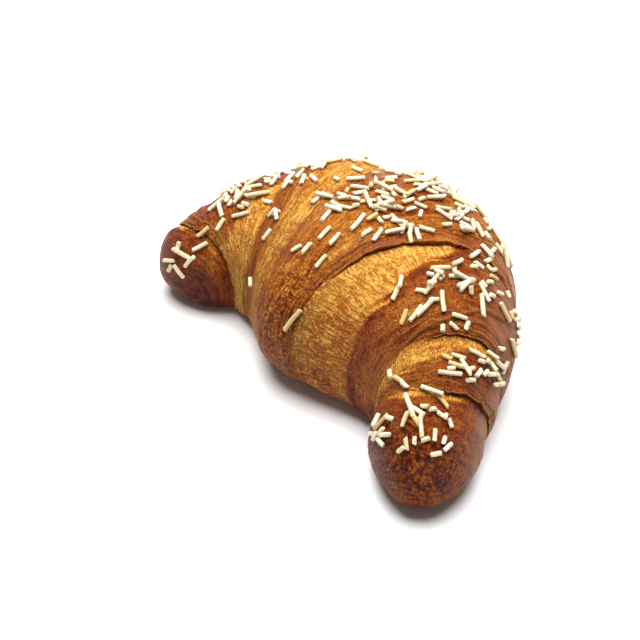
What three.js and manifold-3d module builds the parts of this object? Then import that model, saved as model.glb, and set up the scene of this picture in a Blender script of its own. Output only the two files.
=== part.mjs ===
// A whole filled croissant: a crescent of laminated dough, rolled so that seven layers step down from
// the crown to the two rounded horns, glazed, and strewn with short rods of sugar that are baked on.
// Millimetres, +Z up. It rests on its flat underside, the long way along X and the horns towards -Y,
// and the origin is the middle of the underside of its bounding box.
import * as THREE from "three";
import { mergeVertices } from "three/addons/utils/BufferGeometryUtils.js";
import Module from "manifold-3d";

// Driving dimensions. "along" is measured on the bent middle line from the crown, minus to the left
// horn and plus to the right one. "around" goes round a section: 0 is the inner side of the bend,
// a quarter turn the top, half a turn the outer side and three quarters the underside.
const LEFT = {
  length: 82.8, // crown to horn tip
  bend: 0.975, // radians turned at the tip by the even part of the bend
  curl: 0.728, // and by the part that tightens towards the horn
  hornHalfWidth: 14.7,
  taperEnd: 0.81, // share of the length where the taper reaches the horn's width
  taper: 1.61, // over 1 keeps the middle fat for longer
};
const RIGHT = {
  length: 91.7,
  bend: 1.061,
  curl: 0.667,
  hornHalfWidth: 17.3,
  taperEnd: 0.74,
  taper: 1.15,
};
const CROWN_HALF_WIDTH = 44.3;
const CROWN_HEIGHT = 54.2;
const HORN_HEIGHT = 31;
const HEIGHT_TAPER = 1.1;
const WIDEST_AT = 0.42; // share of the height where a section is widest
const TOP_ROUNDNESS = 2.15; // superellipse powers: 2 is round, more is squarer
const UNDERSIDE_ROUNDNESS = 3;
const TIP_SHARE = 0.28; // share of a half that rounds off into the horn's tip
const TIP_ROUNDNESS = 2.5;
const SETTLE = 1.5; // how far the underside is pressed flat by its own weight
const ORIGIN = { x: 3.55, y: -2.58 }; // middle of the bounding box, measured from the crown

// The lips of the rolled layers: where each one lies on the inner side, the top and the outer side,
// in mm along the middle line.
const LIPS = {
  left: [
    { inner: 25, top: 21.5, outer: 16 },
    { inner: 50.5, top: 41, outer: 44 },
    { inner: 58.5, top: 72, outer: 70 },
  ],
  right: [
    { inner: 15, top: 15, outer: 34 },
    { inner: 60.5, top: 50, outer: 52 },
    { inner: 66.5, top: 68, outer: 60.5 },
  ],
};
const LIP_DROP = 2; // step from a lip down to the layer that comes out from under it
const LIP_RUN = 0.5; // along the middle line, so the step is nearly upright
const DROP_PER_WIDTH = 0.22; // where the layers crowd together the step is lower
const BULGE = { left: [1.2, 2.4, 2.2], right: [2, 1.4, 1.6] }; // each layer's own crowning
const CROWN_BULGE = 1.2;
const UNDERSIDE_SHARE = 0.3; // how much of the steps is left on the underside

const AROUND_STEPS = 34;
const LAYER_STEPS = 5;
const CROWN_STEPS = 7;
const HORN_STEPS = 6;

// The sugar rods, in drifts as they fell: middle along and around (degrees), reach along and around,
// how many rods, and their main heading, which is 0 degrees along the roll and 90 round it.
const SUGAR_DRIFTS = [
  [-80, 80, 4, 18, 4, 160],
  [-79, 45, 3, 10, 2, 35],
  [-59, 93, 5, 12, 6, 65],
  [-56, 115, 4, 11, 8, 155],
  [-51, 87, 5, 10, 6, 160],
  [-47, 108, 5, 11, 7, 0],
  [-48, 136, 9, 12, 9, 60],
  [-36, 71, 2, 4, 3, 75],
  [-35, 100, 6, 9, 7, 110],
  [-34, 116, 4, 8, 7, 45],
  [-29, 133, 8, 10, 9, 0],
  [-20, 103, 7, 18, 6, 160],
  [-11, 89, 6, 10, 9, 45],
  [-10, 110, 5, 9, 7, 90],
  [-3, 98, 5, 10, 9, 30],
  [3, 91, 5, 6, 6, 35],
  [4, 108, 5, 9, 8, 80],
  [10, 93, 3, 5, 4, 75],
  [14, 97, 2, 7, 4, 0],
  [-11, 134, 8, 9, 8, 60],
  [-1, 128, 7, 11, 12, 60],
  [3, 143, 7, 8, 9, 15],
  [9, 128, 4, 12, 8, 70],
  [14, 124, 4, 11, 10, 55],
  [18, 146, 7, 11, 12, 0],
  [-12, 152, 14, 10, 12, 0],
  [27, 129, 5, 11, 8, 70],
  [32, 104, 5, 11, 9, 110],
  [33, 90, 4, 9, 4, 40],
  [36, 120, 5, 12, 7, 65],
  [38, 88, 4, 10, 4, 125],
  [36, 148, 6, 12, 5, 70],
  [40, 165, 6, 9, 5, 90],
  [46, 102, 3, 12, 4, 40],
  [49, 150, 3, 14, 4, 80],
  [57, 128, 5, 13, 7, 140],
  [58, 108, 4, 10, 6, 70],
  [55, 152, 4, 12, 5, 90],
  [72, 101, 5, 13, 5, 110],
  [77, 124, 6, 13, 6, 20],
  [78, 88, 4, 10, 5, 45],
  [82, 104, 5, 12, 6, 10],
  [84, 50, 5, 24, 8, 125],
];
// Rods that lie apart: along, around, heading and length.
const LONE_RODS = [
  [10, 24, 76, 9.5],
  [-39, 26, 144, 3.5],
  [-13, 55, 51, 4],
  [-8, 57, 86, 4.5],
  [-6, 67, 92, 6],
  [0, 67, 98, 5.5],
  [3, 56, 91, 5.5],
  [-36, 58, 66, 4.5],
  [-24, 87, 80, 6.5],
  [-13, 76, 98, 6],
  [0, 80, 106, 8.5],
  [6, 79, 92, 4.5],
  [9, 82, 111, 5.5],
  [-43, 83, 172, 3.5],
  [33, 72, 127, 5],
  [30, 77, 143, 5.5],
  [42, 70, 136, 5],
  [42, 78, 125, 6.5],
  [60, 46, 15, 3.5],
  [64, 55, 56, 4],
  [67, 63, 53, 3],
  [-72, 57, 175, 6],
  [-69, 70, 179, 5.5],
  [-61, 67, 43, 5],
  [-52, 72, 11, 6.5],
];
const ROD_DIAMETER = 1.5;
const ROD_LENGTH = { shortest: 2.4, longest: 8 };
const HEADING_SPREAD = 60; // degrees to either side of a drift's main heading
const ROD_SIDES = 5;
const ROD_SINK = 0.3; // of the radius, how far a rod's axis lies above the crust
const ROD_TILT = 0.06; // radians, the most that a rod leans out of the crust
const RODS_FUSED = 175; // the longest ones, which are the ones that show from a step away
const ROD_SPACING = 3.2; // least distance between the middles of two fused rods

const { PI, abs, cos, max, min, sin, sqrt } = Math;
const clamp01 = (x) => min(max(x, 0), 1);
const smooth = (x) => clamp01(x) ** 2 * (3 - 2 * clamp01(x));

// How far the middle line has turned at a place along it, in radians clockwise from +X.
function turned(along) {
  const half = along < 0 ? LEFT : RIGHT;
  const t = along / half.length;
  return half.bend * t + half.curl * t ** 3;
}

// The middle line in plan: its direction summed up from the crown in equal steps.
function middleLine(along) {
  const steps = 64;
  const step = along / steps;
  let x = 0;
  let y = 0;
  for (let i = 0; i < steps; i++) {
    const angle = turned((i + 0.5) * step);
    x += cos(angle) * step;
    y -= sin(angle) * step;
  }
  return { x: x - ORIGIN.x, y: y - ORIGIN.y };
}

// Falls smoothly from the middle value to the end value, which it reaches at share `reach`.
const blend = (t, middle, end, reach, power) =>
  end + ((middle - end) * (1 + cos(PI * clamp01(abs(t) / reach) ** power))) / 2;

// A layer lip at an angle around the section: a mean, two waves and a double wave through its places
// on the inner side, top and outer side. On the underside it lies midway between inner and outer.
function lipAlong({ inner, top, outer }, around) {
  const under = (inner + outer) / 2;
  return (
    (inner + top + outer + under) / 4 +
    ((inner - outer) / 2) * cos(around) +
    ((top - under) / 2) * sin(around) +
    ((inner + outer - top - under) / 4) * cos(2 * around)
  );
}

// How far the crust stands off the plain body, u of the way across a layer that is `width` wide along
// the middle line: low beside the lip above it, crowned, and high at its own lip.
function standOff(u, width, bulge, isHorn) {
  const drop = min(LIP_DROP, DROP_PER_WIDTH * width);
  const rise = isHorn ? 1 - (1 - u) ** 4 : 1 - (1 - u) ** 1.6;
  const end = isHorn ? 0 : 0.5;
  return -0.5 * drop + (0.5 + end) * drop * rise + bulge * sin(PI * clamp01(u)) ** 0.8;
}

// The body without its layers: a bent, tapering bar of superellipse sections with rounded tips, whose
// underside is pressed flat. `out` moves the point away from the middle of the section.
function bodyPoint(along, around, out) {
  const half = along < 0 ? LEFT : RIGHT;
  const t = along / half.length;
  const width = blend(t, CROWN_HALF_WIDTH, half.hornHalfWidth, half.taperEnd, half.taper);
  const height = blend(t, CROWN_HEIGHT, HORN_HEIGHT, 1, HEIGHT_TAPER);
  const q = clamp01((abs(t) - (1 - TIP_SHARE)) / TIP_SHARE);
  const tip = (1 - q ** TIP_ROUNDNESS) ** (1 / TIP_ROUNDNESS);
  const c = cos(around);
  const s = sin(around);
  const power = s >= 0 ? TOP_ROUNDNESS : UNDERSIDE_ROUNDNESS;
  const k = (abs(c) ** power + abs(s) ** power) ** (-1 / power);
  const middle = WIDEST_AT * height;
  const reach = s >= 0 ? height - middle : middle + SETTLE;
  const sideways = -width * tip * c * k - out * tip * c;
  const z = middle + reach * tip * s * k + out * tip * s;
  const { x, y } = middleLine(along);
  const angle = turned(along);
  return new THREE.Vector3(x + sin(angle) * sideways, y + cos(angle) * sideways, max(z, 0));
}

// How much of the layers' relief is left at an angle around the section.
const reliefShare = (around) => 1 - (1 - UNDERSIDE_SHARE) * smooth((-sin(around) - 0.1) / 0.7);

// The layer that a place lies on, with the lips that bound it, and the crust's stand-off there.
function crustOut(along, around) {
  const side = along < 0 ? "left" : "right";
  const half = side === "left" ? LEFT : RIGHT;
  const places = LIPS[side].map((lip) => lipAlong(lip, around));
  const distance = abs(along);
  const layer = places.findIndex((place) => distance <= place);
  const share = reliefShare(around);
  if (layer === 0) return share * crownOut(along, around);
  const from = layer < 0 ? places[2] : places[layer - 1];
  const to = layer < 0 ? half.length : places[layer];
  const bulge = BULGE[side][layer < 0 ? 2 : layer - 1];
  return share * standOff((distance - from) / (to - from), to - from, bulge, layer < 0);
}

// The crown is the uppermost layer, with a lip at both its edges.
function crownOut(along, around) {
  const left = -lipAlong(LIPS.left[0], around);
  const right = lipAlong(LIPS.right[0], around);
  const u = (along - left) / (right - left);
  return 0.5 * LIP_DROP + CROWN_BULGE * sin(PI * clamp01(u));
}

// The rows of the crust from the left tip to the right one. Each gives, for an angle around, its
// place along and its stand-off. The rows on both sides of a lip stand LIP_RUN apart.
function crustRows() {
  const rows = [];
  for (const [side, direction] of [["left", -1], ["right", 1]]) {
    const half = side === "left" ? LEFT : RIGHT;
    const own = [];
    LIPS[side].forEach((lip, i) => {
      const isHorn = i === 2;
      const steps = isHorn ? HORN_STEPS : LAYER_STEPS;
      for (let j = 0; j < (isHorn ? steps : steps + 1); j++) {
        const u = isHorn ? sin((PI / 2) * (j / steps)) : j / steps;
        own.push((around) => {
          const from = lipAlong(lip, around) + LIP_RUN;
          const to = isHorn ? half.length : lipAlong(LIPS[side][i + 1], around);
          return {
            along: direction * (from + (to - from) * u),
            out: reliefShare(around) * standOff(u, to - from, BULGE[side][i], isHorn),
          };
        });
      }
    });
    rows.push(direction < 0 ? own.reverse() : own);
  }
  const crown = [];
  for (let j = 0; j <= CROWN_STEPS; j++) {
    crown.push((around) => {
      const left = -lipAlong(LIPS.left[0], around);
      const right = lipAlong(LIPS.right[0], around);
      const along = left + ((right - left) * j) / CROWN_STEPS;
      return { along, out: reliefShare(around) * crownOut(along, around) };
    });
  }
  return [...rows[0], ...crown, ...rows[1]];
}

// The crust as one closed surface: rings of points joined row to row, with a point at each tip.
function crustGeometry() {
  const rows = crustRows();
  const points = [bodyPoint(-LEFT.length, 0, 0)];
  for (const row of rows) {
    for (let i = 0; i < AROUND_STEPS; i++) {
      const around = (2 * PI * i) / AROUND_STEPS;
      const { along, out } = row(around);
      points.push(bodyPoint(along, around, out));
    }
  }
  points.push(bodyPoint(RIGHT.length, 0, 0));
  const faces = [];
  const last = points.length - 1;
  const at = (row, i) => 1 + row * AROUND_STEPS + (i % AROUND_STEPS);
  for (let i = 0; i < AROUND_STEPS; i++) {
    faces.push(0, at(0, i), at(0, i + 1));
    for (let row = 0; row < rows.length - 1; row++) {
      faces.push(at(row, i), at(row + 1, i), at(row + 1, i + 1));
      faces.push(at(row, i), at(row + 1, i + 1), at(row, i + 1));
    }
    faces.push(at(rows.length - 1, i), last, at(rows.length - 1, i + 1));
  }
  const geometry = new THREE.BufferGeometry().setFromPoints(points);
  return geometry.setIndex(faces);
}

// An even scatter that is the same each time: the fraction of a large sine.
function draw(index, kind) {
  const x = sin(index * 12.9898 + kind * 78.233) * 43758.5453;
  return x - Math.floor(x);
}

// The lone rods, then the drifts, each filled as the seeds of a sunflower are and nudged by the draw.
function sugarRods() {
  const rods = LONE_RODS.map(([along, around, heading, length]) => ({
    along,
    around: (around * PI) / 180,
    length,
    heading: (heading * PI) / 180,
    tilt: 0,
  }));
  const goldenAngle = PI * (3 - sqrt(5));
  let n = 0;
  for (const [along, around, reachAlong, reachAround, count, heading] of SUGAR_DRIFTS) {
    for (let i = 0; i < count; i++) {
      n += 1;
      const r = sqrt((i + 0.3 + 0.5 * draw(n, 1)) / count);
      const a = i * goldenAngle + 1.2 * draw(n, 2);
      rods.push({
        along: along + reachAlong * r * cos(a),
        around: ((around + reachAround * r * sin(a)) * PI) / 180,
        length: ROD_LENGTH.shortest + (ROD_LENGTH.longest - ROD_LENGTH.shortest) * draw(n, 3) ** 1.3,
        heading: ((heading + HEADING_SPREAD * (2 * draw(n, 4) - 1)) * PI) / 180,
        tilt: ROD_TILT * (2 * draw(n, 5) - 1),
      });
    }
  }
  return rods;
}

// A rod lies on the crust, a little sunk, and turned to its heading about the crust's normal. Its
// first edge points up, so with five sides a flat one faces down into the crust.
function rodGeometry({ along, around, length, heading, tilt }) {
  const reach = 1.2;
  const sweep = reach / 25;
  const at = (da, dv) => bodyPoint(along + da, around + dv, crustOut(along, around));
  const here = at(0, 0);
  const e1 = at(reach, 0).sub(at(-reach, 0)).normalize();
  const e2 = at(0, sweep).sub(at(0, -sweep)).normalize();
  const normal = new THREE.Vector3().crossVectors(e1, e2).normalize();
  const across = new THREE.Vector3().crossVectors(normal, e1);
  const flat = e1.clone().multiplyScalar(cos(heading)).addScaledVector(across, sin(heading));
  const axis = flat.multiplyScalar(cos(tilt)).addScaledVector(normal, sin(tilt));
  const middle = here.addScaledVector(normal, (ROD_SINK * ROD_DIAMETER) / 2);
  const beside = new THREE.Vector3().crossVectors(axis, normal).normalize();
  const up = new THREE.Vector3().crossVectors(beside, axis);
  const rod = new THREE.CylinderGeometry(ROD_DIAMETER / 2, ROD_DIAMETER / 2, length, ROD_SIDES);
  rod.applyMatrix4(new THREE.Matrix4().makeBasis(beside, axis, up));
  rod.translate(middle.x, middle.y, middle.z);
  return { rod, middle };
}

const wasm = await Module();
wasm.setup();

function solidOf(geometry) {
  const bare = geometry.clone();
  bare.deleteAttribute("normal");
  bare.deleteAttribute("uv");
  const merged = mergeVertices(bare, 1e-4);
  return new wasm.Manifold(
    new wasm.Mesh({
      numProp: 3,
      vertProperties: new Float32Array(merged.attributes.position.array),
      triVerts: new Uint32Array(merged.index.array),
    }),
  );
}

// The rods to fuse: the longest come first, and one that would crowd another is passed over.
function fusedRods() {
  const chosen = [];
  for (const place of sugarRods().sort((a, b) => b.length - a.length)) {
    const { rod, middle } = rodGeometry(place);
    const crowded = chosen.some((other) => other.middle.distanceTo(middle) < ROD_SPACING);
    if (!crowded && chosen.length < RODS_FUSED) chosen.push({ rod, middle });
  }
  return chosen.map(({ rod }) => rod);
}

// The rods are baked onto the crust, so all is one body. A scrap that touches nothing is dropped.
function croissantGeometry() {
  const joined = wasm.Manifold.union([solidOf(crustGeometry()), ...fusedRods().map(solidOf)]);
  const [body] = joined.decompose().sort((a, b) => b.volume() - a.volume());
  const mesh = body.getMesh();
  return new THREE.BufferGeometry()
    .setAttribute("position", new THREE.BufferAttribute(mesh.vertProperties, 3))
    .setIndex(new THREE.BufferAttribute(mesh.triVerts, 1));
}

const glazedCrust = new THREE.MeshStandardMaterial({ color: 0xa4581f, roughness: 0.45, metalness: 0 });
const croissant = new THREE.Mesh(croissantGeometry(), glazedCrust);
croissant.name = "croissant";
croissant.geometry.computeVertexNormals();

const group = new THREE.Group();
group.add(croissant);
export default group;
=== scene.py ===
import math

import bpy
import numpy as np
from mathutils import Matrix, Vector
from mathutils.bvhtree import BVHTree


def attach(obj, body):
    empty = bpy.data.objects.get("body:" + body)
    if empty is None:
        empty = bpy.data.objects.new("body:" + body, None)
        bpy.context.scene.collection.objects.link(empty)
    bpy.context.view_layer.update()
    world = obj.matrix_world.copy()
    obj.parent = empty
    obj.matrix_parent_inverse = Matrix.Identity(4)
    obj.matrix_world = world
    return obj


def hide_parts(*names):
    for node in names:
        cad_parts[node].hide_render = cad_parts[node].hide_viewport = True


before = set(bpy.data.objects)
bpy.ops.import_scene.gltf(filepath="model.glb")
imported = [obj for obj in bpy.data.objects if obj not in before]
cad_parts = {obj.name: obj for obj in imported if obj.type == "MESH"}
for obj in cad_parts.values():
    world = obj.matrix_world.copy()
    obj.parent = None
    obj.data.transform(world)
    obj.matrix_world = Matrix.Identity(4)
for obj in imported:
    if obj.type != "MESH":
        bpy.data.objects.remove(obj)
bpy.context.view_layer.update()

# ---------------------------------------------------------------------------------------------
# The crust
# Laminated dough, rolled up from a long triangle and bent, so that seven layers step down from
# the crown to the two horns. Each layer was stretched as it rose: the strip that slid out from
# under the lip above it stayed golden, and the egg-washed rest baked brown.
# ---------------------------------------------------------------------------------------------
# Sizes are in mm. "along" runs on the bent middle line from the crown, minus to the left horn.
# "around" goes round a section: 0 inner side, a quarter turn top, half a turn outer side. The
# crown and the two arms are closed skins that reach in under each other at the lips.
MM = 0.001

# Each half's middle line turns by "bend" and "curl" radians over its length. Its half width falls
# to "horn" at the share "taper_end" of the length, and the higher "taper" is, the later it falls.
LEFT = {"length": 82.8, "bend": 0.975, "curl": 0.728,
        "horn": 14.7, "taper_end": 0.81, "taper": 1.61}
RIGHT = {"length": 91.7, "bend": 1.061, "curl": 0.667,
         "horn": 17.3, "taper_end": 0.74, "taper": 1.15}
CROWN_HALF_WIDTH = 44.3
CROWN_HEIGHT = 54.2
HORN_HEIGHT = 31.0
HEIGHT_TAPER = 1.1
WIDEST_AT = 0.42            # how high up a section is widest, as a share of its height
TOP_ROUNDNESS = 2.15        # the powers of a section's superellipse, where 2 is an ellipse
UNDERSIDE_ROUNDNESS = 3.0
TIP_SHARE = 0.28            # the last share of each half, in which the horn rounds off
TIP_ROUNDNESS = 2.5
SETTLE = 1.5                # how much of the underside was pressed flat on the tray
ORIGIN_X, ORIGIN_Y = 3.55, -2.58    # the frame's origin, from the middle line's place in the crown
SECTION_RADIUS = 26.0       # turns a way round a section into mm, for the patterns

# "lip" and "border" give where the lip lies on the inner side, the top and the outer side, and
# where the golden strip beyond it gives way to the glaze. "drop" is the step under the lip, which
# is open from "free_from" degrees round on, and "bulge" the layer's crowning. "fade" is how wide
# the change from gold to brown is, "ledge" how far the glazed skin stands up there, "brown" how
# far it baked, from 0, pale gold, to 1, burnt, and "rows" the number of mesh rows.
LEFT_LAYERS = [
    {"lip": (25, 21.5, 16), "drop": 1.2, "free_from": -60, "bulge": 1.2,
     "border": (43, 31, 38), "fade": 9.0, "ledge": 0.1, "brown": 0.50, "rows": 62},
    {"lip": (50.5, 41, 44), "drop": 1.1, "free_from": 0, "bulge": 2.4,
     "border": (74, 47, 41), "fade": 5.0, "ledge": 0.2, "brown": 0.55, "rows": 84},
    {"lip": (58.5, 72, 70), "drop": 1.3, "free_from": -30, "bulge": 2.2,
     "border": (57, 73, 72), "fade": 1.6, "ledge": 0.0, "brown": 0.64, "rows": 56},
]
RIGHT_LAYERS = [
    {"lip": (15, 15, 34), "drop": 1.6, "free_from": 40, "bulge": 2.0,
     "border": (44.5, 28, 20), "fade": 4.0, "ledge": 1.0, "brown": 0.55, "rows": 96},
    {"lip": (60.5, 50, 52), "drop": 1.2, "free_from": 62, "bulge": 1.4,
     "border": (66, 58.5, 49.2), "fade": 4.0, "ledge": 0.4, "brown": 0.52, "rows": 50},
    {"lip": (66.5, 68, 60.5), "drop": 1.5, "free_from": 72, "bulge": 1.6,
     "border": (69.5, 70.6, 61.5), "fade": 3.0, "ledge": 0.2, "brown": 0.57, "rows": 66},
]
CROWN_ROWS = 160
CROWN_BULGE = 1.2
CROWN_BROWN = 0.42
UNDERSIDE_SHARE = 0.3    # how much of the layers' relief is left on the underside
TUCK = 1.5         # how far each layer reaches in under the lip above it
LIP_WAVER = 0.9    # how far a lip strays from its even line
ARM_COLUMNS = 400
CROWN_COLUMNS = 560
ROW_CROWDING = 0.55        # how much closer the mesh rows lie at a layer's ends than in its middle
HORN_ROW_CROWDING = 0.4
COLUMN_CROWDING = 0.3      # the same for the columns on top of a section
SEAM_TURN = -105           # where round a section its columns start, in degrees

# The profile of a lip: the radius of its edge, the turns at which the edge has a mesh row, then
# how far back from the edge each row of the crease lies, how much of the drop it has gone down,
# and how far it dives into the layer below.
NOSE = 0.4
EDGE_TURNS = [30, 60, 90]
CREASE_BACK = [0.25, 0.5, 0.8, 1.2]
CREASE_DOWN = [0.3, 0.65, 0.95, 1.0]
CREASE_DIVE = [0.0, 0.0, 0.0, 2.0]

# What the rows hold where a distance has no meaning. A horn has no next lip, and a point over
# FAR_FROM_LIP from one is treated as if it had none. The crown has neither a lip above it nor a
# border, and its left and right half carry their own number, so that their plies differ.
NO_LIP = 40.0
FAR_FROM_LIP = 39.0
CROWN_PAST = 20.0
CROWN_SPAN = 40.0
CROWN_SIDE = 0.3

# A torn fold in the right arm's first layer, between its rods and its lip.
FOLD_LINE = (58, 46.5, 40)
FOLD_STEP = 0.9

# Thin laminations end one after another towards each lip: distance from the lip, and riser.
PLIES = [(0.9, 0.25), (2.2, 0.24), (3.9, 0.24), (6.2, 0.22)]
PLY_REACH = 9      # how far from a lip their tone and loose scales still show

# Relief and tone that are the same every way: strength, size in mm and the noise's seed. Lumps,
# pits and flakes have their height in mm as strength.
LUMPS = [(0.9, 22, 1), (0.45, 8, 2)]
PITS = [(0.26, 1.5, 5), (0.14, 0.8, 10)]
FLAKES = [(0.1, 1.1, 8)]
BLISTERS = [(1.0, 2.6, 9)]
PATCHES = [(1.0, 13, 33), (0.5, 5, 34)]

# Relief and tone that follow the layers: strength, size in mm across them and round the roll, how
# much the pattern changes from layer to layer, and the noise's seed. Waves, wrinkles and fibres
# have their height in mm as strength.
WAVES = [(0.40, 3.2, 20, 5.3, 6)]
WRINKLES = [(0.24, 1.2, 10, 5.3, 3), (0.1, 0.6, 6, 1, 7)]
FIBRES = [(0.13, 0.9, 3.2, 5.3, 4)]
SCALES = [(1.0, 1.1, 5, 1, 11)]
STREAKS = [(1.0, 1.5, 17, 3, 31), (0.6, 0.7, 9, 3, 32)]
BLISTER_HEIGHT = 0.22
SCALE_HEIGHT = 0.3

# Soft round patches: strength, middle along and round, and reach along and round, with the ways
# round in degrees. Some baked darker or, with a minus, paler, and some blistered into grains.
# The olive ones lie just past the lips and are partly painted shade there, the mauve ones are a
# painted sheen, and the dull ones a painted reflection at grazing angles.
BAKE_SPOTS = [
    (0.14, -80, 5, 9, 25), (0.24, -78, -30, 12, 22), (-0.28, -67, 42, 6, 26), (0.16, -66, 96, 10, 26),
    (-0.12, -51, 8, 5, 30), (0.08, 8, 30, 5, 20), (0.08, 8, -20, 20, 20), (0.10, 28, -25, 18, 24),
    (0.06, 48, 35, 5, 25), (-0.14, 58, 0, 9, 25), (0.12, 7, 107, 8, 14), (0.20, 51, 80, 5, 32),
    (0.14, 45, -32, 12, 14), (-0.14, 53, 24, 9, 24), (-0.10, 40, 76, 6, 12), (-0.08, 69, 96, 6, 16),
    (-0.12, -79, 50, 8, 20), (0.12, -50, 78, 5, 22), (-0.08, -8, 46, 16, 13), (-0.08, -20, -6, 8, 20),
    (-0.05, 26, -12, 9, 16), (0.06, 62, 130, 14, 22), (0.14, 88, 115, 8, 60),
]
GRAIN_SPOTS = [(1.2, 2, 15, 20, 38), (1.0, 88, 150, 10, 60), (0.8, 88, 60, 8, 60), (0.6, 30, -20, 20, 30)]
OLIVE_SPOTS = [(0.8, 17, 15, 5, 28), (0.35, 17, 50, 5, 22), (0.35, -28, 55, 4, 25), (0.3, 56, 55, 6, 20)]
# Painted sheen, where the soft lamp's highlight lies on the glaze.
PAINTED_SHEEN_SPOTS = [
    (0.9, -22, 50, 4, 60), (0.8, 11, 78, 5, 20), (0.6, 38, 92, 7, 16), (0.6, 62, 95, 5, 14),
    (0.5, 0, -12, 18, 24),
]
# Painted reflection at grazing angles.
GRAZING_REFLECTION_SPOTS = [(0.7, -85, 70, 4, 60)]
LAYER_SHIFT = 9.0          # how far apart in mm the material's patterns start on each layer


def turned(along, half):
    """How far the middle line has turned: an even bend and a part that grows with the cube."""
    t = along / half["length"]
    return half["bend"] * t + half["curl"] * t**3


def middle_line(along):
    """Place and heading of the bent middle line: its direction summed in small steps each way
    from the crown, then read off between the steps."""
    place, heading = [], []
    for half, sign in ((LEFT, -1.0), (RIGHT, 1.0)):
        reach = np.linspace(0.0, sign * half["length"], 1201)
        mid = (reach[1:] + reach[:-1]) / 2
        step = reach[1] - reach[0]
        x = np.concatenate([[0.0], np.cumsum(np.cos(turned(mid, half)) * step)])
        y = np.concatenate([[0.0], np.cumsum(-np.sin(turned(mid, half)) * step)])
        order = np.argsort(reach)
        place.append((reach[order], x[order], y[order]))
        heading.append(turned(along, half))
    left, right = place
    x = np.where(along < 0, np.interp(along, left[0], left[1]), np.interp(along, right[0], right[1]))
    y = np.where(along < 0, np.interp(along, left[0], left[2]), np.interp(along, right[0], right[2]))
    return x - ORIGIN_X, y - ORIGIN_Y, np.where(along < 0, heading[0], heading[1])


def blend(t, middle, end, reach, power):
    """Falls from the middle value to the end value on half a cosine wave."""
    return end + (middle - end) * (1 + np.cos(np.pi * np.clip(np.abs(t) / reach, 0, 1) ** power)) / 2


def body_point(along, around, out):
    """A bent, tapering bar of superellipse sections with rounded tips and a flat underside; `out`
    moves the point away from the middle of its section. Gives x, y and z in mm."""
    left = along < 0
    t = along / np.where(left, LEFT["length"], RIGHT["length"])
    wide_left = blend(t, CROWN_HALF_WIDTH, LEFT["horn"], LEFT["taper_end"], LEFT["taper"])
    wide_right = blend(t, CROWN_HALF_WIDTH, RIGHT["horn"], RIGHT["taper_end"], RIGHT["taper"])
    width = np.where(left, wide_left, wide_right)
    height = blend(t, CROWN_HEIGHT, HORN_HEIGHT, 1.0, HEIGHT_TAPER)
    q = np.clip((np.abs(t) - (1 - TIP_SHARE)) / TIP_SHARE, 0, 1)
    tip = (1 - q**TIP_ROUNDNESS) ** (1 / TIP_ROUNDNESS)
    c, s = np.cos(around), np.sin(around)
    power = np.where(s >= 0, TOP_ROUNDNESS, UNDERSIDE_ROUNDNESS)
    k = (np.abs(c) ** power + np.abs(s) ** power) ** (-1 / power)
    middle = WIDEST_AT * height
    reach = np.where(s >= 0, height - middle, middle + SETTLE)
    sideways = -(width * k + out) * tip * c
    z = middle + (reach * k + out) * tip * s
    x, y, angle = middle_line(along)
    return np.stack([x + np.sin(angle) * sideways, y + np.cos(angle) * sideways, np.maximum(z, 0)], -1)


def ring_line(places, around):
    """A line that runs once round the section through its places on the inner side, the top and
    the outer side: a mean, a sine and a cosine wave and a double wave."""
    inner, top, outer = places
    under = (inner + outer) / 2
    mean = (inner + top + outer + under) / 4
    waves = (inner - outer) / 2 * np.cos(around) + (top - under) / 2 * np.sin(around)
    return mean + waves + (inner + outer - top - under) / 4 * np.cos(2 * around)


def ease(x):
    """Rises from 0 to 1 without a corner at either end."""
    x = np.clip(x, 0, 1)
    return x * x * (3 - 2 * x)


RANDOM_TABLE = np.random.default_rng(7).random(4096)


def noise(x, y, z, seed=0):
    """Smooth noise from -1 to 1: a random value at each whole-number point of space, eased
    from one to the next."""
    x, y, z = np.broadcast_arrays(x, y, z)
    corner = [np.floor(v).astype(np.int64) for v in (x, y, z)]
    fraction = [ease(v - np.floor(v)) for v in (x, y, z)]
    total = 0.0
    for step in np.ndindex(2, 2, 2):
        a, b, c = (corner[i] + step[i] for i in range(3))
        index = (a * 73856093) ^ (b * 19349663) ^ (c * 83492791) ^ (seed * 2654435761)
        weight = 1.0
        for i in range(3):
            weight = weight * (fraction[i] if step[i] else 1 - fraction[i])
        total = total + weight * RANDOM_TABLE[(index ^ (index >> 13)) & 4095]
    return 2 * total - 1


def even_noise(x, y, z, kinds):
    """The sum of noises that are the same every way: strength times noise at its size."""
    total = 0.0
    for strength, size, seed in kinds:
        total = total + strength * noise(x / size, y / size, z / size, seed)
    return total


def layer_noise(lay, girth, tag, kinds):
    """The sum of noises that follow the layers: strength times noise at its size across them and
    its size round the roll."""
    total = 0.0
    for strength, across, along, change, seed in kinds:
        total = total + strength * noise(lay / across, girth / along, tag * change, seed)
    return total


def with_spots(ground, along, turn, spots):
    """Adds soft round patches to a ground: strength times e to the power of minus the squared
    distance from the patch's middle, counted in its reaches."""
    for strength, middle, middle_turn, reach, sweep in spots:
        patch = np.exp(-((along - middle) / reach) ** 2 - ((turn - middle_turn) / sweep) ** 2)
        ground = ground + strength * patch
    return ground


def section_round(columns):
    """The mesh's columns round a section, from its underside on, closest on top."""
    t = np.arange(columns) / columns
    crowded = t + COLUMN_CROWDING * np.sin(2 * np.pi * t) / (2 * np.pi)
    return np.radians(SEAM_TURN) + 2 * np.pi * crowded


def relief_share(around):
    """How much of the layers' relief is left: all on top, a little on the underside."""
    return 1 - (1 - UNDERSIDE_SHARE) * ease((-np.sin(around) - 0.1) / 0.7)


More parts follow.
